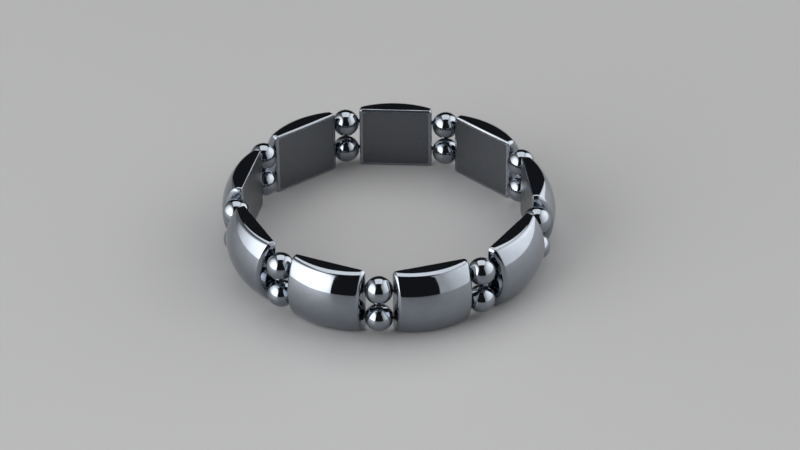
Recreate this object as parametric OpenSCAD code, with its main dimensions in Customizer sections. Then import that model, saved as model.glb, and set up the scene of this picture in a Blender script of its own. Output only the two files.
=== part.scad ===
// Stretch bracelet: nine domed stone tiles with a pair of round beads between
// neighbours, on two elastic cords. It stands on the tiles' lower edges, with its
// wrist opening along Z, the ring's axis on X = Y = 0 and the floor at Z = 0.
// All sizes are in millimetres. The numbers run counter-clockwise seen from above:
// bead pair 1 stands in front, at -90 degrees, after tile 1 and before tile 2.

/* [Tiles] */
// Length of a tile along the string
tile_length = 16; // [13:0.5:19]
// Width of a tile, which is its height as the bracelet stands
tile_width = 14.5; // [13.5:0.5:17]
// Thickness of a tile at the top of its dome
tile_thickness = 6.2; // [5.6:0.1:7]
// Radius of the dome along the tile, measured at mid-width
dome_radius_along = 20; // [18:1:26]
// Radius of the dome across the tile
dome_radius_across = 11; // [10:0.5:14]
// Width of the shallow bevels round the wrist face
wrist_bevel_width = 0.65; // [0.4:0.05:0.8]
// Depth of these bevels, into the tile's thickness
wrist_bevel_depth = 0.22; // [0.15:0.01:0.4]
// Leg of the bevels on the short edges of the flat upper and lower faces
edge_bevel = 0.55; // [0.3:0.05:0.7]
// Width of the bevels that run round the dome
dome_bevel = 0.8; // [0.4:0.05:1]

/* [Beads] */
// Bead diameter
bead_diameter = 5.9; // [5:0.1:6.2]
// Gap between a bead and a tile's end
bead_gap = 0.1; // [0.05:0.05:0.3]
// Distance between the upper and the lower cord
cord_spacing = 6.8; // [6.4:0.1:7.4]

/* [Cords and bores] */
// Diameter of the elastic cord
cord_diameter = 0.8; // [0.5:0.1:0.9]
// Diameter of the bores through a tile
tile_bore = 1.5; // [1.3:0.1:1.7]
// Diameter of the bore through a bead
bead_bore = 1.3; // [1.1:0.1:1.5]
// Distance from a tile's wrist face to the middle of its bores
bore_height = 1.6; // [1.4:0.1:2]
// Radius of the cord's middle line where it turns between a tile and a bead
cord_bend_radius = 0.8; // [0.7:0.1:1]

/* [Hidden] */
tile_count = 9;

stone_colour = [0.27, 0.28, 0.30];
bead_colour = [0.30, 0.31, 0.33];
cord_colour = [0.12, 0.12, 0.13];

// Angle from a tile to the next one, and from a tile to the bead pair after it
tile_step = 360 / tile_count;
bead_step = tile_step / 2;
first_bead_angle = -90;
function tile_angle(n) = first_bead_angle - bead_step + (n - 1) * tile_step;
function bead_angle(n) = first_bead_angle + (n - 1) * tile_step;

// The ring's size follows from its pieces. A bead lies in the wedge between two tile
// ends. A cord runs straight through the tiles and the beads, and turns between them.
bead_radius = bead_diameter / 2;
bead_ring_radius = (tile_length / 2 + bead_radius + bead_gap) / sin(bead_step);
bore_ring_radius = bead_ring_radius * cos(bead_step) + bead_radius * sin(bead_step);
wrist_face_radius = bore_ring_radius - bore_height;
lower_cord_z = tile_width / 2 - cord_spacing / 2;
upper_cord_z = tile_width / 2 + cord_spacing / 2;

// A tile's own frame: X along the string, Y outwards from the wrist face, Z up.
// Its dome is an arc across the tile, turned about an upright axis behind the tile.
dome_axis_y = tile_thickness - dome_radius_along;
arc_middle = dome_radius_along - dome_radius_across;
// Slope of the dome, and its distance from the upright axis, at the flat upper face
rim_slope = asin(tile_width / 2 / dome_radius_across);
rim_radius = arc_middle + dome_radius_across * cos(rim_slope);

// The dome's edge on a tile's end: its depth at mid-width and at the upper face, and
// the arc through both
function depth_at_end(radius) = dome_axis_y + sqrt(radius * radius - tile_length * tile_length / 4);
end_mid_y = depth_at_end(dome_radius_along);
end_rim_y = depth_at_end(rim_radius);
end_sag = end_mid_y - end_rim_y;
end_arc_radius = (tile_width * tile_width / 4 + end_sag * end_sag) / (2 * end_sag);
// Slope of the dome along the tile, where it meets the end
end_slope = asin(tile_length / 2 / dome_radius_along);

// The way that a bevel round the dome faces, halfway between the two faces that it joins
rim_bevel_turn = (90 + rim_slope) / 2;
end_bevel_turn = (90 + end_slope) / 2;
short_bevel_turn = 45;
// How far a bevel lies below the sharp corner that it cuts
function depth_below(width, turn) = width / 2 / tan(turn);
rim_bevel_below = depth_below(dome_bevel, rim_bevel_turn);
end_bevel_below = depth_below(dome_bevel, end_bevel_turn);
short_bevel_below = edge_bevel * sin(short_bevel_turn);
// Slope of the wrist face's bevels from that face
wrist_bevel_slope = atan(wrist_bevel_depth / wrist_bevel_width);
wrist_bevel_below = wrist_bevel_width * sin(wrist_bevel_slope);

// Overlap past the shape for everything that cuts it
spare = 2;
block_size = 4 * tile_length;
round_facets = 96;

// A cord is a row of rings with this many sides. Each turn has rings at these shares.
cord_sides = 8;
turn_shares = [0, 0.5, 1];
turn_count = 2 * tile_count;
ring_count = turn_count * len(turn_shares);
// Distance from a tile's middle, and from a bead's, to the corner where the lines
// through their bores cross
tile_corner = tile_length / 2 + bead_gap + bead_radius * (1 - cos(bead_step));
bead_corner = bead_radius;

function outward(angle) = [cos(angle), sin(angle), 0];
function forward(angle) = [-sin(angle), cos(angle), 0];

// Turn number m of a cord: even ones leave a tile, odd ones leave a bead
function turn_start(m) = tile_angle(1) + m * bead_step;
function turn_corner(m) = m % 2 == 0
    ? bore_ring_radius * outward(turn_start(m)) + tile_corner * forward(turn_start(m))
    : bead_ring_radius * outward(turn_start(m)) + bead_corner * forward(turn_start(m));
function turn_middle(m) = turn_corner(m)
    - cord_bend_radius / cos(bead_step / 2) * outward(turn_start(m) + bead_step / 2);

// Ring of points round the cord's middle line, at one share of a turn
function cord_ring(m, share, z) =
    let (angle = turn_start(m) + share * bead_step, cord_radius = cord_diameter / 2)
    [for (side = [0 : cord_sides - 1])
        let (round = 360 * side / cord_sides)
        turn_middle(m) + (cord_bend_radius + cord_radius * cos(round)) * outward(angle)
            + [0, 0, z + cord_radius * sin(round)]];

// Everything behind a bevel that faces the way of turn and lies below a sharp corner
module behind_bevel(corner, turn, below) {
    translate(corner)
        rotate(turn)
            translate([-block_size - below, -block_size / 2])
                square(block_size);
}

// Half-section of the dome, with X as the distance from its upright axis
module dome_section() {
    intersection() {
        translate([arc_middle, tile_width / 2])
            circle(r = dome_radius_across, $fn = round_facets);
        translate([-dome_axis_y - spare, 0])
            square([tile_thickness + 2 * spare, tile_width]);
        behind_bevel([rim_radius, tile_width], rim_bevel_turn, rim_bevel_below);
        behind_bevel([rim_radius, 0], -rim_bevel_turn, rim_bevel_below);
    }
}

// Half-section of the tile's ends, with X as the distance from the end arc's middle
// and Y along the string
module end_section() {
    intersection() {
        translate([0, -tile_length / 2])
            square([end_arc_radius + 2 * spare, tile_length]);
        behind_bevel([end_arc_radius, tile_length / 2], end_bevel_turn, end_bevel_below);
        behind_bevel([end_arc_radius, -tile_length / 2], -end_bevel_turn, end_bevel_below);
    }
}

// The straight bevels: on the wrist face's upright edges, on its long edges, and on
// the short edges of the flat upper and lower faces
module straight_edges() {
    half_length = tile_length / 2;
    intersection() {
        translate([0, 0, -spare])
            linear_extrude(height = tile_width + 2 * spare)
                intersection() {
                    translate([-half_length - spare, 0])
                        square([tile_length + 2 * spare, tile_thickness + spare]);
                    behind_bevel([half_length, 0], wrist_bevel_slope - 90, wrist_bevel_below);
                    behind_bevel([-half_length, 0], -90 - wrist_bevel_slope, wrist_bevel_below);
                }
        rotate([90, 0, 90])
            linear_extrude(height = tile_length + 2 * spare, center = true)
                intersection() {
                    translate([-spare, -spare])
                        square([tile_thickness + 2 * spare, tile_width + 2 * spare]);
                    behind_bevel([0, tile_width], 180 - wrist_bevel_slope, wrist_bevel_below);
                    behind_bevel([0, 0], wrist_bevel_slope - 180, wrist_bevel_below);
                }
        translate([0, tile_thickness + spare, 0])
            rotate([90, 0, 0])
                linear_extrude(height = tile_thickness + 2 * spare)
                    intersection() {
                        translate([-half_length - spare, -spare])
                            square([tile_length + 2 * spare, tile_width + 2 * spare]);
                        behind_bevel([half_length, tile_width], short_bevel_turn, short_bevel_below);
                        behind_bevel([half_length, 0], -short_bevel_turn, short_bevel_below);
                        behind_bevel([-half_length, tile_width], 180 - short_bevel_turn, short_bevel_below);
                        behind_bevel([-half_length, 0], short_bevel_turn - 180, short_bevel_below);
                    }
    }
}

// One domed tile, with its two bores
module tile(n) {
    color(stone_colour)
        rotate(tile_angle(n) - 90)
            translate([0, wrist_face_radius, 0])
                difference() {
                    intersection() {
                        translate([0, dome_axis_y, 0])
                            rotate_extrude($fn = round_facets)
                                dome_section();
                        translate([0, end_mid_y - end_arc_radius, tile_width / 2])
                            rotate([0, 90, 0])
                                rotate_extrude($fn = round_facets)
                                    end_section();
                        straight_edges();
                    }
                    for (z = [lower_cord_z, upper_cord_z])
                        translate([0, bore_height, z])
                            rotate([0, 90, 0])
                                cylinder(d = tile_bore, h = tile_length + 2 * spare,
                                    center = true, $fn = round_facets);
                }
}

// One round bead of pair n, on the cord at height z
module bead(n, z) {
    color(bead_colour)
        rotate(bead_angle(n) - 90)
            translate([0, bead_ring_radius, z])
                rotate([0, 90, 0])
                    rotate_extrude($fn = round_facets)
                        intersection() {
                            circle(d = bead_diameter, $fn = round_facets);
                            translate([bead_bore / 2, -bead_radius])
                                square([bead_radius, bead_diameter]);
                        }
}

// One cord, a closed loop at height z
module cord(z) {
    points = [for (m = [0 : turn_count - 1]) for (share = turn_shares) each cord_ring(m, share, z)];
    faces = [for (ring = [0 : ring_count - 1]) for (side = [0 : cord_sides - 1])
        let (next_ring = (ring + 1) % ring_count, next_side = (side + 1) % cord_sides)
        [ring * cord_sides + side, ring * cord_sides + next_side,
         next_ring * cord_sides + next_side, next_ring * cord_sides + side]];
    color(cord_colour)
        polyhedron(points = points, faces = faces);
}

for (n = [1 : tile_count]) {
    tile(n);
    bead(n, upper_cord_z);
    bead(n, lower_cord_z);
}
cord(upper_cord_z);  // cord_upper
cord(lower_cord_z);  // cord_lower
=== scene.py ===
"""Looks of a stretch bracelet of polished dark stone: nine domed tiles with a pair of
round beads between neighbours, on two elastic cords. Lengths are in millimetres until
the meshes are made, and the names follow the part's source."""
import math

import bpy
import numpy as np
from mathutils import Matrix, Vector


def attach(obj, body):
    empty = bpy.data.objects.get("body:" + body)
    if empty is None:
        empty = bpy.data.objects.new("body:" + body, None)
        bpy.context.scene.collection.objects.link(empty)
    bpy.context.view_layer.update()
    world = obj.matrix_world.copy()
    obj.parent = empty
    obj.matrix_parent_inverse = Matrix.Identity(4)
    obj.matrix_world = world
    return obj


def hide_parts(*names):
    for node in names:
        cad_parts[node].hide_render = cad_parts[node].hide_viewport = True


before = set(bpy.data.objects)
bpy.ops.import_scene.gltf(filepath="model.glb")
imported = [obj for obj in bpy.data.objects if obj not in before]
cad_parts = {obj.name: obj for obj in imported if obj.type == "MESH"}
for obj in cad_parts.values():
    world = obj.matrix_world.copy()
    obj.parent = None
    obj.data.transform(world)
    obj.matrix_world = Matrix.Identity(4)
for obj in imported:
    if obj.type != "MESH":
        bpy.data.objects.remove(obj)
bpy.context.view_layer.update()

MM = 0.001

# Sizes of the pieces, as in the part's source
TILE_COUNT = 9
TILE_LENGTH = 16.0
TILE_WIDTH = 14.5
TILE_THICKNESS = 6.2
DOME_RADIUS_ALONG = 20.0
DOME_RADIUS_ACROSS = 11.0
WRIST_BEVEL_WIDTH = 0.65
WRIST_BEVEL_DEPTH = 0.22
EDGE_BEVEL = 0.55
DOME_BEVEL = 0.8
BEAD_DIAMETER = 5.9
BEAD_GAP = 0.1
CORD_SPACING = 6.8
CORD_DIAMETER = 0.8
TILE_BORE = 1.5
BEAD_BORE = 1.3
BORE_HEIGHT = 1.6
CORD_BEND_RADIUS = 0.8
FIRST_BEAD_ANGLE = math.radians(-90)

# Sizes of the finish, which the solids leave sharp
EDGE_SOFTNESS = 0.06
TILE_MOUTH_ROUND = 0.12
BEAD_MOUTH_ROUND = 0.2
WRIST_FACE_REACH = 0.04

# Grid of the tile's skin: how far its fine steps reach from an edge, that step, and the count
# of the coarse ones between them
FINE_REACH_ALONG = 1.3
FINE_STEP_ALONG = 0.1
COARSE_STEPS_ALONG = 29
FINE_REACH_ACROSS = 1.1
FINE_STEP_ACROSS = 0.09
COARSE_STEPS_ACROSS = 23
SHELF_POINTS = 19
FIRST_INSET = 0.07
LAST_INSET = 0.64
INSET_STEP = 0.08

# The tile's core, from which rays go out to its skin, and where the search along a ray begins
CORE_HEIGHT = 2.0
CORE_END_GAP = 2.0
RAY_START = 0.3
RAY_END = 1.02
HALVINGS = 32

# Counts of the points on the tile's ends, the beads and the cords
END_LINE_POINTS = 14
END_RINGS = 4
TILE_LIP_POINTS = 5
BEAD_ARC_POINTS = 57
BEAD_LIP_POINTS = 8
BEAD_SIDES = 96
CORD_BEND_POINTS = 5
CORD_SIDES = 16

# Digits to which points in one place agree, the size under which a face is left out, and how
# near to the line across a tile's end a point of that line lies
WELD_DIGITS = 5
SLIVER = 1e-9
ON_LINE = 1e-6

FLOOR_HALF_SIZE = 4.0

# Worked out from these sizes
TILE_STEP = 2 * math.pi / TILE_COUNT
BEAD_STEP = TILE_STEP / 2
FIRST_TILE_ANGLE = FIRST_BEAD_ANGLE - BEAD_STEP
BEAD_RADIUS = BEAD_DIAMETER / 2
BEAD_RING_RADIUS = (TILE_LENGTH / 2 + BEAD_RADIUS + BEAD_GAP) / math.sin(BEAD_STEP)
BORE_RING_RADIUS = BEAD_RING_RADIUS * math.cos(BEAD_STEP) + BEAD_RADIUS * math.sin(BEAD_STEP)
WRIST_FACE_RADIUS = BORE_RING_RADIUS - BORE_HEIGHT
HALF_LENGTH = TILE_LENGTH / 2
HALF_WIDTH = TILE_WIDTH / 2
LOWER_CORD_Z = HALF_WIDTH - CORD_SPACING / 2
UPPER_CORD_Z = HALF_WIDTH + CORD_SPACING / 2

# The dome's upright axis behind the tile, and the middle of its arc from that axis
DOME_AXIS_Y = TILE_THICKNESS - DOME_RADIUS_ALONG
ARC_MIDDLE = DOME_RADIUS_ALONG - DOME_RADIUS_ACROSS
RIM_SLOPE = math.asin(HALF_WIDTH / DOME_RADIUS_ACROSS)
RIM_RADIUS = ARC_MIDDLE + DOME_RADIUS_ACROSS * math.cos(RIM_SLOPE)
END_MID_Y = DOME_AXIS_Y + math.sqrt(DOME_RADIUS_ALONG ** 2 - HALF_LENGTH ** 2)
END_SAG = END_MID_Y - DOME_AXIS_Y - math.sqrt(RIM_RADIUS ** 2 - HALF_LENGTH ** 2)
END_ARC_RADIUS = (HALF_WIDTH ** 2 + END_SAG ** 2) / (2 * END_SAG)
END_ARC_Y = END_MID_Y - END_ARC_RADIUS
RIM_BEVEL_TURN = math.pi / 4 + RIM_SLOPE / 2
END_BEVEL_TURN = math.pi / 4 + math.asin(HALF_LENGTH / DOME_RADIUS_ALONG) / 2

# The photograph's view. The ring's middle on the floor shows at VIEW_CENTRE, in pixels.
PHOTO_WIDTH = 800
PHOTO_HEIGHT = 450
VIEW_CENTRE = (388.0, 242.2)
VIEW_AZIMUTH = math.radians(3.58)
VIEW_ELEVATION = math.radians(35.0)
VIEW_ROLL = math.radians(-0.4)
VIEW_DISTANCE = 663.8
FOCAL_PIXELS = 3092.0
SENSOR_WIDTH = 36.0


def photo_camera():
    """Camera on a line from the ring's middle at the view's azimuth and elevation. It is turned
    until the ring's middle lies at its place in the picture, and then rolled."""
    a, e = VIEW_AZIMUTH, VIEW_ELEVATION
    back = Vector((math.sin(a) * math.cos(e), -math.cos(a) * math.cos(e), math.sin(e)))
    right = Vector((math.cos(a), math.sin(a), 0))
    up = back.cross(right)
    off_right = (VIEW_CENTRE[0] - PHOTO_WIDTH / 2) / FOCAL_PIXELS
    off_down = (VIEW_CENTRE[1] - PHOTO_HEIGHT / 2) / FOCAL_PIXELS
    ahead = (-back - right * off_right + up * off_down).normalized()
    level = ahead.cross(Vector((0, 0, 1))).normalized()
    level_up = level.cross(ahead)
    right = level * math.cos(VIEW_ROLL) + level_up * math.sin(VIEW_ROLL)
    up = level_up * math.cos(VIEW_ROLL) - level * math.sin(VIEW_ROLL)
    data = bpy.data.cameras.new("photo_camera")
    data.sensor_width = SENSOR_WIDTH
    data.lens = FOCAL_PIXELS * SENSOR_WIDTH / PHOTO_WIDTH
    data.clip_start = 0.05
    camera = bpy.data.objects.new("photo_camera", data)
    bpy.context.scene.collection.objects.link(camera)
    turn = Matrix((right, up, -ahead)).transposed().to_4x4()
    camera.matrix_world = Matrix.Translation(back * VIEW_DISTANCE * MM) @ turn
    bpy.context.scene.camera = camera


photo_camera()


def grid_faces(rows, columns, start=0, closed=False):
    """Four-cornered faces between neighbouring rows and columns of a grid of points that are
    numbered row by row. A closed grid joins its last column to its first."""
    numbers = start + np.arange(rows * columns).reshape(rows, columns)
    after = np.roll(numbers, -1, axis=1)
    if not closed:
        numbers, after = numbers[:, :-1], after[:, :-1]
    return np.stack([numbers[:-1], after[:-1], after[1:], numbers[1:]], axis=-1).reshape(-1, 4)


def welded(points, normals, faces):
    """Joins points that lie in one place, and turns every face to the side of its normals."""
    _, first, where = np.unique(np.round(points, WELD_DIGITS), axis=0, return_index=True,
                                return_inverse=True)
    points, normals, faces = points[first], normals[first], where.reshape(-1)[faces]
    diagonal_one = points[faces[:, 2]] - points[faces[:, 0]]
    diagonal_two = points[faces[:, 3]] - points[faces[:, 1]]
    facing = np.cross(diagonal_one, diagonal_two)
    wide = np.linalg.norm(facing, axis=1) > SLIVER
    inward = np.einsum("ij,ij->i", facing, normals[faces].sum(axis=1)) < 0
    faces[inward] = faces[inward][:, ::-1]
    return points, normals, faces[wide]


def place_round(points, angle, radius, height):
    """Turns points of a piece's own frame, with Y outwards, to their place round the ring. With
    no radius and no height it turns directions."""
    along, out, up = points[..., 0], points[..., 1] + radius, points[..., 2] + height
    x = out * math.cos(angle) + along * math.sin(angle)
    y = out * math.sin(angle) - along * math.cos(angle)
    return np.stack([x, y, up], axis=-1)


def make_piece(name, points, normals, faces, materials, face_material=None):
    """Mesh object in metres from points in millimetres, with the surface's true normals."""
    mesh = bpy.data.meshes.new(name)
    mesh.from_pydata((points * MM).tolist(), [], faces.tolist())
    mesh.polygons.foreach_set("use_smooth", np.ones(len(faces), dtype=bool))
    for material in materials:
        mesh.materials.append(material)
    if face_material is not None:
        mesh.polygons.foreach_set("material_index", face_material.astype(np.int32))
    mesh.normals_split_custom_set_from_vertices(normals.tolist())
    piece = bpy.data.objects.new(name, mesh)
    bpy.context.scene.collection.objects.link(piece)
    return piece


def tile_field(points):
    """How far points lie outside a tile, and the way in which that grows. It is a soft maximum
    of the distances from the tile's faces: the planes, the dome, which is a torus about the
    upright axis, and the cones of the bevels that run round the dome."""
    x, y, z = points[..., 0], points[..., 1], points[..., 2]
    zero = np.zeros_like(x)
    distances, slopes = [], []

    def add(distance, slope):
        """One more face: the distance from it, and the way in which that grows."""
        distances.append(distance)
        slopes.append(np.stack(slope, axis=-1))

    def add_plane(normal, offset):
        """A plane across its normal, at the offset from the tile's own origin."""
        add(normal[0] * x + normal[1] * y + normal[2] * z - offset, [zero + n for n in normal])

    slant = math.sqrt(0.5)
    wrist_slope = math.atan2(WRIST_BEVEL_DEPTH, WRIST_BEVEL_WIDTH)
    wrist_out, wrist_in = math.sin(wrist_slope), -math.cos(wrist_slope)
    add_plane((0, -1, 0), 0)
    for side in (-1, 1):
        add_plane((0, 0, side), HALF_WIDTH)
        add_plane((side, 0, 0), HALF_LENGTH)
        add_plane((side * wrist_out, wrist_in, 0), (HALF_LENGTH - WRIST_BEVEL_WIDTH) * wrist_out)
        add_plane((0, wrist_in, side * wrist_out), (HALF_WIDTH - WRIST_BEVEL_WIDTH) * wrist_out)
        for end in (-1, 1):
            add_plane((end * slant, 0, side * slant), (HALF_LENGTH + HALF_WIDTH - EDGE_BEVEL) * slant)

    from_axis = np.hypot(x, y - DOME_AXIS_Y)
    axis_x, axis_y = x / from_axis, (y - DOME_AXIS_Y) / from_axis
    from_arc = np.hypot(from_axis - ARC_MIDDLE, z)
    arc_out = (from_axis - ARC_MIDDLE) / from_arc
    add(from_arc - DOME_RADIUS_ACROSS, [arc_out * axis_x, arc_out * axis_y, z / from_arc])

    rim_out, rim_up = math.cos(RIM_BEVEL_TURN), math.sin(RIM_BEVEL_TURN)
    rim_depth = DOME_BEVEL / 2 / math.tan(RIM_BEVEL_TURN)
    from_end_arc = np.hypot(y - END_ARC_Y, z)
    end_y, end_z = (y - END_ARC_Y) / from_end_arc, z / from_end_arc
    end_out, end_along = math.cos(END_BEVEL_TURN), math.sin(END_BEVEL_TURN)
    end_depth = DOME_BEVEL / 2 / math.tan(END_BEVEL_TURN)
    for side in (-1, 1):
        add(rim_out * (from_axis - RIM_RADIUS) + rim_up * (side * z - HALF_WIDTH) + rim_depth,
            [rim_out * axis_x, rim_out * axis_y, zero + rim_up * side])
        add(end_out * (from_end_arc - END_ARC_RADIUS) + end_along * (side * x - HALF_LENGTH) + end_depth,
            [zero + end_along * side, end_out * end_y, end_out * end_z])

    distances, slopes = np.array(distances), np.array(slopes)
    largest = distances.max(axis=0)
    weight = np.exp((distances - largest) / EDGE_SOFTNESS)
    total = weight.sum(axis=0)
    slope = (slopes * (weight / total)[..., None]).sum(axis=0)
    outside = largest + EDGE_SOFTNESS * np.log(total)
    return outside, slope / np.linalg.norm(slope, axis=-1, keepdims=True)


def stations(length, fine_reach, fine_step, coarse_count):
    """Distances from 0 to length, close together within fine_reach of both ends."""
    fine = np.arange(0, fine_reach, fine_step)
    return np.unique(np.concatenate([fine, np.linspace(fine_reach, length - fine_reach, coarse_count),
                                     length - fine]))


def sharp_section(x, inset):
    """The tile's outline across the string, without bevels, at each x, and drawn in by each
    inset: up the wrist face, out along the upper face, down the dome and back. Its points have
    the same places along every outline."""
    x, inset = x[:, None], inset[:, None]
    half = HALF_WIDTH - inset
    flat = (stations(TILE_WIDTH, FINE_REACH_ACROSS, FINE_STEP_ACROSS, COARSE_STEPS_ACROSS) / TILE_WIDTH)[None]
    shelf = np.linspace(0, 1, SHELF_POINTS)[None, 1:-1]
    arc_radius = DOME_RADIUS_ACROSS - inset
    turn = np.arcsin(half / arc_radius) * (1 - 2 * flat)
    arc_z = arc_radius * np.sin(turn)
    arc_y = DOME_AXIS_Y + np.sqrt((ARC_MIDDLE + arc_radius * np.cos(turn)) ** 2 - x ** 2)
    rim_y = arc_y[:, :1]
    shelf_y = inset + (rim_y - inset) * shelf
    y = np.concatenate([inset + 0 * flat, shelf_y, arc_y, shelf_y[:, ::-1]], axis=1)
    z = np.concatenate([half * (2 * flat - 1), half + 0 * shelf, arc_z, -half + 0 * shelf], axis=1)
    return np.stack([x + 0 * y, y, z], axis=-1)


def tile_skin():
    """The tile's outside but for the flat middle of its ends. Each point of the sharp outlines
    is moved along a ray from the tile's core until the field is zero there."""
    along = stations(TILE_LENGTH, FINE_REACH_ALONG, FINE_STEP_ALONG, COARSE_STEPS_ALONG) - HALF_LENGTH
    inset_steps = np.arange(FIRST_INSET, LAST_INSET, INSET_STEP)
    at_end = np.full(len(inset_steps), HALF_LENGTH)
    x = np.concatenate([-at_end, along, at_end])
    inset = np.concatenate([inset_steps[::-1], 0 * along, inset_steps])
    target = sharp_section(x, inset)
    core = np.zeros_like(target)
    core[..., 0] = np.clip(target[..., 0], CORE_END_GAP - HALF_LENGTH, HALF_LENGTH - CORE_END_GAP)
    core[..., 1] = CORE_HEIGHT
    ray = target - core
    inside, outside = np.full(ray.shape[:2], RAY_START), np.full(ray.shape[:2], RAY_END)
    for _ in range(HALVINGS):
        middle = (inside + outside) / 2
        is_out = tile_field(core + ray * middle[..., None])[0] > 0
        outside = np.where(is_out, middle, outside)
        inside = np.where(is_out, inside, middle)
    points = core + ray * inside[..., None]
    return points, tile_field(points)[1]


def half_end(ring, bore_z):
    """Flat part of a tile's end round one bore, from the half of the skin's last ring on the
    bore's side and the line across the middle, in to the bore's rounded mouth."""
    way = np.sign(bore_z)
    half = ring[ring[:, 2] * way > -ON_LINE]
    bore = np.array([ring[0, 0], BORE_HEIGHT, bore_z])
    across = half[np.abs(half[:, 2]) < ON_LINE]
    low, high = across[np.argmin(across[:, 1])], across[np.argmax(across[:, 1])]
    middle = low + (high - low) * np.linspace(0, 1, END_LINE_POINTS)[1:-1, None]
    loop = np.concatenate([half, middle])
    turn = np.arctan2(loop[:, 2] - bore_z, loop[:, 1] - BORE_HEIGHT)
    loop, turn = loop[np.argsort(turn)], np.sort(turn)
    round_way = np.stack([0 * turn, np.cos(turn), np.sin(turn)], axis=1)
    mouth = bore + round_way * (TILE_BORE / 2 + TILE_MOUTH_ROUND)
    share = np.linspace(0, 1, END_RINGS)[:, None, None]
    flat = loop * (1 - share) + mouth * share
    end_way = np.array([np.sign(ring[0, 0]), 0, 0])
    bend = np.linspace(0, math.pi / 2, TILE_LIP_POINTS)[1:, None, None]
    lip_radius = TILE_BORE / 2 + TILE_MOUTH_ROUND * (1 - np.sin(bend))
    lip = bore + round_way * lip_radius - end_way * TILE_MOUTH_ROUND * (1 - np.cos(bend))
    points = np.concatenate([flat, lip])
    normals = np.concatenate([end_way + 0 * flat, end_way * np.cos(bend) - round_way * np.sin(bend)])
    return points, normals


def tile_surface():
    """Closed surface of one tile in its own frame: the skin, the ends and the two bores."""
    skin, skin_normals = tile_skin()
    rows, columns = skin.shape[:2]
    points, normals = [skin.reshape(-1, 3)], [skin_normals.reshape(-1, 3)]
    faces, count = [grid_faces(rows, columns, closed=True)], rows * columns
    for bore_z in (CORD_SPACING / 2, -CORD_SPACING / 2):
        mouths = []
        for ring in (skin[0], skin[-1]):
            end_points, end_normals = half_end(ring, bore_z)
            levels, around = end_points.shape[:2]
            points.append(end_points.reshape(-1, 3))
            normals.append(end_normals.reshape(-1, 3))
            faces.append(grid_faces(levels, around, count, closed=True))
            mouths.append(count + (levels - 1) * around)
            count += levels * around
        wall = np.arange(around)
        after = np.roll(wall, -1)
        faces.append(np.stack([mouths[0] + wall, mouths[0] + after,
                               mouths[1] + after, mouths[1] + wall], axis=1))
    return welded(np.concatenate(points), np.concatenate(normals), np.concatenate(faces))


def bead_surface():
    """A ball turned about its bore, which lies along X: the ball's arc, a small arc that rounds
    each mouth of the bore, and the bore's wall."""
    bore, lip = BEAD_BORE / 2, BEAD_MOUTH_ROUND
    lip_x = math.sqrt((BEAD_RADIUS - lip) ** 2 - (bore + lip) ** 2)
    mouth_turn = math.atan2(bore + lip, lip_x)
    ball = np.linspace(mouth_turn, math.pi - mouth_turn, BEAD_ARC_POINTS)
    mouth = np.linspace(-math.pi / 2, mouth_turn, BEAD_LIP_POINTS)[:-1]
    x = np.concatenate([lip_x + lip * np.cos(mouth), BEAD_RADIUS * np.cos(ball),
                        -lip_x - lip * np.cos(mouth[::-1])])
    out = np.concatenate([bore + lip + lip * np.sin(mouth), BEAD_RADIUS * np.sin(ball),
                          bore + lip + lip * np.sin(mouth[::-1])])
    facing_x = np.concatenate([np.cos(mouth), np.cos(ball), -np.cos(mouth[::-1])])
    facing_out = np.concatenate([np.sin(mouth), np.sin(ball), np.sin(mouth[::-1])])
    around = np.linspace(0, 2 * math.pi, BEAD_SIDES + 1)[:-1]

    def turned(x, out):
        """A profile of places along X and outwards from it, turned about X."""
        return np.stack([x[:, None] + 0 * around, np.outer(out, np.cos(around)),
                         np.outer(out, np.sin(around))], axis=-1)

    points, normals = turned(x, out), turned(facing_x, facing_out)
    rows, columns = points.shape[:2]
    first, last = np.arange(columns), (rows - 1) * columns + np.arange(columns)
    wall = np.stack([last, np.roll(last, -1), np.roll(first, -1), first], axis=1)
    faces = np.concatenate([grid_faces(rows, columns, closed=True), wall])
    return welded(points.reshape(-1, 3), normals.reshape(-1, 3), faces)


def cord_surface(height):
    """A round tube along the string. Its middle line is straight through the tiles and the
    beads, and an arc of the bend radius joins each line to the next one."""
    turns = FIRST_TILE_ANGLE + BEAD_STEP * np.arange(2 * TILE_COUNT)
    leaves_tile = np.arange(2 * TILE_COUNT) % 2 == 0
    line_radius = np.where(leaves_tile, BORE_RING_RADIUS, BEAD_RING_RADIUS)
    tile_corner = HALF_LENGTH + BEAD_GAP + BEAD_RADIUS * (1 - math.cos(BEAD_STEP))
    reach = np.where(leaves_tile, tile_corner, BEAD_RADIUS)

    def outward(angle):
        """Level direction of length one at an angle round the ring."""
        return np.stack([np.cos(angle), np.sin(angle), 0 * angle], axis=-1)

    corner = line_radius[:, None] * outward(turns) + reach[:, None] * outward(turns + math.pi / 2)
    middle = corner - CORD_BEND_RADIUS / math.cos(BEAD_STEP / 2) * outward(turns + BEAD_STEP / 2)
    angle = (turns[:, None] + BEAD_STEP * np.linspace(0, 1, CORD_BEND_POINTS)).ravel()
    centre = np.repeat(middle, CORD_BEND_POINTS, axis=0) + CORD_BEND_RADIUS * outward(angle)
    around = np.linspace(0, 2 * math.pi, CORD_SIDES + 1)[:-1]
    up = np.array([0, 0, 1])
    normals = outward(angle)[:, None] * np.cos(around)[:, None] + up * np.sin(around)[:, None]
    points = centre[:, None] + CORD_DIAMETER / 2 * normals + np.array([0, 0, height])
    rows, columns = points.shape[:2]
    first, last = np.arange(columns), (rows - 1) * columns + np.arange(columns)
    seam = np.stack([last, np.roll(last, -1), np.roll(first, -1), first], axis=1)
    faces = np.concatenate([grid_faces(rows, columns, closed=True), seam])
    return welded(points.reshape(-1, 3), normals.reshape(-1, 3), faces)


def new_material(name):
    """New node material, with its nodes, its links and its Principled shader."""
    material = bpy.data.materials.new(name)
    material.use_nodes = True
    tree = material.node_tree
    return material, tree.nodes, tree.links, tree.nodes["Principled BSDF"]


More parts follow.
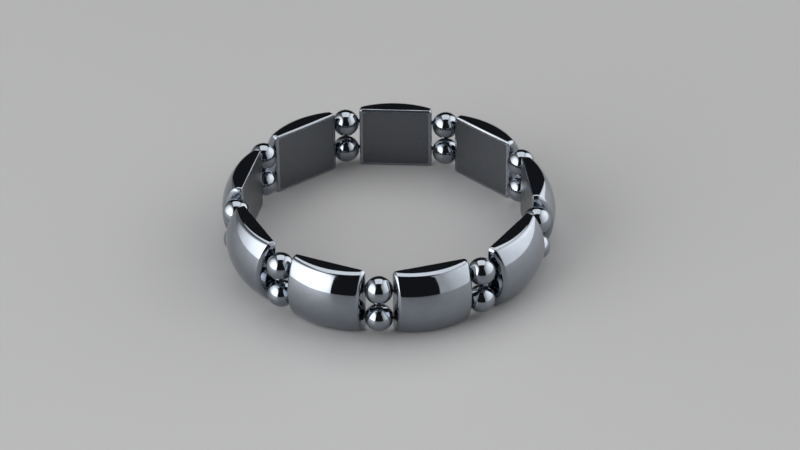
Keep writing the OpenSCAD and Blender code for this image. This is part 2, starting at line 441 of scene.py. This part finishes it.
def object_noise(nodes, links, scale, detail=3.0, stretch=(1, 1, 1)):
    """Noise on the object's own coordinates, in metres. Scale counts its waves in a metre."""
    place = nodes.new("ShaderNodeTexCoord")
    mapping = nodes.new("ShaderNodeMapping")
    mapping.inputs["Scale"].default_value = stretch
    noise = nodes.new("ShaderNodeTexNoise")
    noise.inputs["Scale"].default_value = scale
    noise.inputs["Detail"].default_value = detail
    links.new(place.outputs["Object"], mapping.inputs["Vector"])
    links.new(mapping.outputs["Vector"], noise.inputs["Vector"])
    return noise.outputs["Fac"]


def spread(nodes, links, value, low, high, start=0.3, end=0.7):
    """Maps a noise value from start..end to low..high."""
    ramp = nodes.new("ShaderNodeMapRange")
    ramp.inputs["From Min"].default_value = start
    ramp.inputs["From Max"].default_value = end
    ramp.inputs["To Min"].default_value = low
    ramp.inputs["To Max"].default_value = high
    links.new(value, ramp.inputs["Value"])
    return ramp.outputs["Result"]


def tinted(nodes, links, value, dark, light):
    """Colour between dark and light by a value from 0 to 1."""
    mix = nodes.new("ShaderNodeMix")
    mix.data_type = "RGBA"
    mix.inputs["A"].default_value = (*dark, 1)
    mix.inputs["B"].default_value = (*light, 1)
    links.new(value, mix.inputs["Factor"])
    return mix.outputs["Result"]


def bumped(nodes, links, shader, layers):
    """Surface relief. Each layer is a height from 0 to 1 and its size in metres, and each one
    lies on the one before it."""
    normal = None
    for height, size in layers:
        bump = nodes.new("ShaderNodeBump")
        bump.inputs["Distance"].default_value = size
        links.new(height, bump.inputs["Height"])
        if normal is not None:
            links.new(normal, bump.inputs["Normal"])
        normal = bump.outputs["Normal"]
    links.new(normal, shader.inputs["Normal"])


def specks(nodes, links, scale, radius):
    """1 in small round pits, and 0 between them. Their radius is a share of their spacing."""
    place = nodes.new("ShaderNodeTexCoord")
    cells = nodes.new("ShaderNodeTexVoronoi")
    cells.inputs["Scale"].default_value = scale
    links.new(place.outputs["Object"], cells.inputs["Vector"])
    return spread(nodes, links, cells.outputs["Distance"], 1, 0, start=radius * 0.6, end=radius)


def polished_stone():
    """Mirror-polished dark metallic stone: a faint cloudiness in its colour, a polish that is a
    little hazier in patches, a surface that is not quite even, fine polishing marks along the
    string and a few tiny pits."""
    material, nodes, links, shader = new_material("polished_dark_stone")
    shader.inputs["Metallic"].default_value = 1.0
    cloud = spread(nodes, links, object_noise(nodes, links, scale=420), 0, 1)
    tint = tinted(nodes, links, cloud, dark=(0.262, 0.288, 0.324), light=(0.292, 0.318, 0.354))
    links.new(tint, shader.inputs["Base Color"])
    haze = object_noise(nodes, links, scale=900, detail=5)
    links.new(spread(nodes, links, haze, low=0.03, high=0.075), shader.inputs["Roughness"])
    bumped(nodes, links, shader, [
        (object_noise(nodes, links, scale=230, detail=1), 0.0000025),
        (object_noise(nodes, links, scale=900, detail=4, stretch=(1, 1, 9)), 0.00000022),
        (specks(nodes, links, scale=420, radius=0.022), -0.000008),
    ])
    return material


def ground_stone(name, darker, lighter, smoother, rougher):
    """Stone that is ground and at most softly polished: a fine grain, upright grinding marks, a
    few small pits, and a sheen between a smoother and a rougher one in patches."""
    material, nodes, links, shader = new_material(name)
    shader.inputs["Metallic"].default_value = 1.0
    grain = spread(nodes, links, object_noise(nodes, links, scale=5200, detail=4), 0, 1)
    links.new(tinted(nodes, links, grain, darker, lighter), shader.inputs["Base Color"])
    haze = object_noise(nodes, links, scale=700, detail=5)
    links.new(spread(nodes, links, haze, smoother, rougher), shader.inputs["Roughness"])
    bumped(nodes, links, shader, [
        (object_noise(nodes, links, scale=4200, detail=3, stretch=(1, 1, 0.05)), 0.0000028),
        (specks(nodes, links, scale=900, radius=0.045), -0.00001),
    ])
    return material


def elastic():
    """Dark elastic cord with faint lengthwise streaks."""
    material, nodes, links, shader = new_material("dark_elastic_cord")
    streak = spread(nodes, links, object_noise(nodes, links, scale=3000, stretch=(1, 1, 4)), 0, 1)
    tint = tinted(nodes, links, streak, dark=(0.012, 0.012, 0.013), light=(0.03, 0.03, 0.032))
    links.new(tint, shader.inputs["Base Color"])
    shader.inputs["Roughness"].default_value = 0.4
    return material


def floor_paint():
    """Plain pale satin floor, with a barely seen unevenness."""
    material, nodes, links, shader = new_material("pale_floor")
    patch = spread(nodes, links, object_noise(nodes, links, scale=3, detail=1), 0, 1)
    tint = tinted(nodes, links, patch, dark=(0.345, 0.345, 0.348), light=(0.36, 0.36, 0.363))
    links.new(tint, shader.inputs["Base Color"])
    shader.inputs["Roughness"].default_value = 0.42
    shader.inputs["Specular IOR Level"].default_value = 0.35
    return material


STONE = polished_stone()
# The wrist face's colour, about half the polished stone's, is painted shade; its grain and satin roughness
# are the stone's own.
SHADE_PAINTED_SATIN = ground_stone("satin_wrist_face_painted_shade", darker=(0.128, 0.138, 0.154), lighter=(0.158, 0.168, 0.184),
                     smoother=0.27, rougher=0.34)
# The bevel's colour, a little lighter than the polished stone's, is a painted highlight; its grain and softer
# polish are the stone's own.
HIGHLIGHT_PAINTED_BEVEL = ground_stone("softly_polished_bevel_painted_highlight", darker=(0.30, 0.32, 0.35), lighter=(0.34, 0.36, 0.39),
                     smoother=0.2, rougher=0.28)
CORD = elastic()


def string_up():
    """Makes the tiles, the beads and the cords, and hides the node of the part's source that each stands for.
    A tile's face has the satin finish, darkened with painted shade, where it lies in the wrist face, the
    bevel's finish, lightened with a painted highlight, as far as the wrist face's bevels go, and the polished
    one beyond them."""
    tile_points, tile_normals, tile_faces = tile_surface()
    depth = tile_points[tile_faces][:, :, 1].max(axis=1)
    # The wrist face's finish carries painted shade and the bevel's finish a painted highlight.
    finishes = [STONE, SHADE_PAINTED_SATIN, HIGHLIGHT_PAINTED_BEVEL]
    finish = np.where(depth < WRIST_BEVEL_DEPTH, np.where(depth < WRIST_FACE_REACH, 1, 2), 0)
    bead_points, bead_normals, bead_faces = bead_surface()
    for n in range(1, TILE_COUNT + 1):
        tile_angle = FIRST_TILE_ANGLE + (n - 1) * TILE_STEP
        bead_angle = FIRST_BEAD_ANGLE + (n - 1) * TILE_STEP
        tile = make_piece(f"stone_tile_{n}",
                          place_round(tile_points, tile_angle, WRIST_FACE_RADIUS, HALF_WIDTH),
                          place_round(tile_normals, tile_angle, 0, 0), tile_faces, finishes, finish)
        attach(tile, "root")
        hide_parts(f"tile_{n}")
        for level, height in (("upper", UPPER_CORD_Z), ("lower", LOWER_CORD_Z)):
            bead = make_piece(f"stone_bead_{level}_{n}",
                              place_round(bead_points, bead_angle, BEAD_RING_RADIUS, height),
                              place_round(bead_normals, bead_angle, 0, 0), bead_faces, [STONE])
            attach(bead, "root")
            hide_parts(f"bead_{level}_{n}")
    for level, height in (("upper", UPPER_CORD_Z), ("lower", LOWER_CORD_Z)):
        cord = make_piece(f"elastic_{level}", *cord_surface(height), [CORD])
        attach(cord, "root")
        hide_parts(f"cord_{level}")


string_up()


def pale_floor():
    """Wide flat floor under the bracelet."""
    half = FLOOR_HALF_SIZE
    corners = [(-half, -half, 0), (half, -half, 0), (half, half, 0), (-half, half, 0)]
    mesh = bpy.data.meshes.new("floor")
    mesh.from_pydata(corners, [], [(0, 1, 2, 3)])
    mesh.materials.append(floor_paint())
    floor = bpy.data.objects.new("floor", mesh)
    bpy.context.scene.collection.objects.link(floor)


def softbox(name, right, near, up, faces, width, height, radiance, bright_spot=None, rim=1.0):
    """Flat rectangular light. Its middle lies so far to the right of the bracelet, nearer to the
    camera and up, in metres, and faces is the way that it shines, told the same way. A bright
    spot, told as a place too, is where the lamp stands behind the cloth. A metre from it the
    cloth has only the rim's share of that brightness."""
    data = bpy.data.lights.new(name, "AREA")
    data.shape = "RECTANGLE"
    data.size, data.size_y = width, height
    data.energy = radiance * width * height * math.pi
    light = bpy.data.objects.new(name, data)
    bpy.context.scene.collection.objects.link(light)
    view_turn = Matrix.Rotation(VIEW_AZIMUTH, 3, "Z")
    back = view_turn @ Vector((-faces[0], faces[1], -faces[2]))
    turn = back.to_track_quat("Z", "Y").to_matrix().to_4x4()
    light.matrix_world = Matrix.Translation(view_turn @ Vector((right, -near, up))) @ turn
    light.visible_camera = False
    if bright_spot is None:
        return
    data.use_nodes = True
    nodes, links = data.node_tree.nodes, data.node_tree.links
    place = nodes.new("ShaderNodeNewGeometry")
    away = nodes.new("ShaderNodeVectorMath")
    away.operation = "DISTANCE"
    away.inputs[1].default_value = view_turn @ Vector((bright_spot[0], -bright_spot[1], bright_spot[2]))
    links.new(place.outputs["Position"], away.inputs[0])
    strength = spread(nodes, links, away.outputs["Value"], low=1.0, high=rim, start=0.1, end=1.0)
    links.new(strength, nodes["Emission"].inputs["Strength"])


def studio():
    """A tall softbox on each side, with a dark gap towards the camera, and one overhead, behind
    the bracelet and tilted towards it."""
    softbox("softbox_left", right=-0.62, near=0.07, up=0.8, faces=(1, 0, 0), width=1.96, height=1.6,
            radiance=5.2, bright_spot=(-0.62, 0.5, 0.34), rim=0.05)
    softbox("softbox_right", right=0.62, near=0.02, up=0.8, faces=(-1, 0, 0), width=1.86, height=1.6,
            radiance=2.7, bright_spot=(0.62, -0.3, 0.4), rim=0.3)
    softbox("softbox_top", right=0, near=-0.34, up=0.83, faces=(0, 0.38, -0.92), width=0.75,
            height=0.86, radiance=1.9)
    world = bpy.data.worlds.new("dim_room")
    world.use_nodes = True
    world.node_tree.nodes["Background"].inputs["Color"].default_value = (0.02, 0.021, 0.023, 1)
    world.node_tree.nodes["Background"].inputs["Strength"].default_value = 1.0
    bpy.context.scene.world = world
    bpy.context.scene.view_settings.view_transform = "Standard"


pale_floor()
studio()
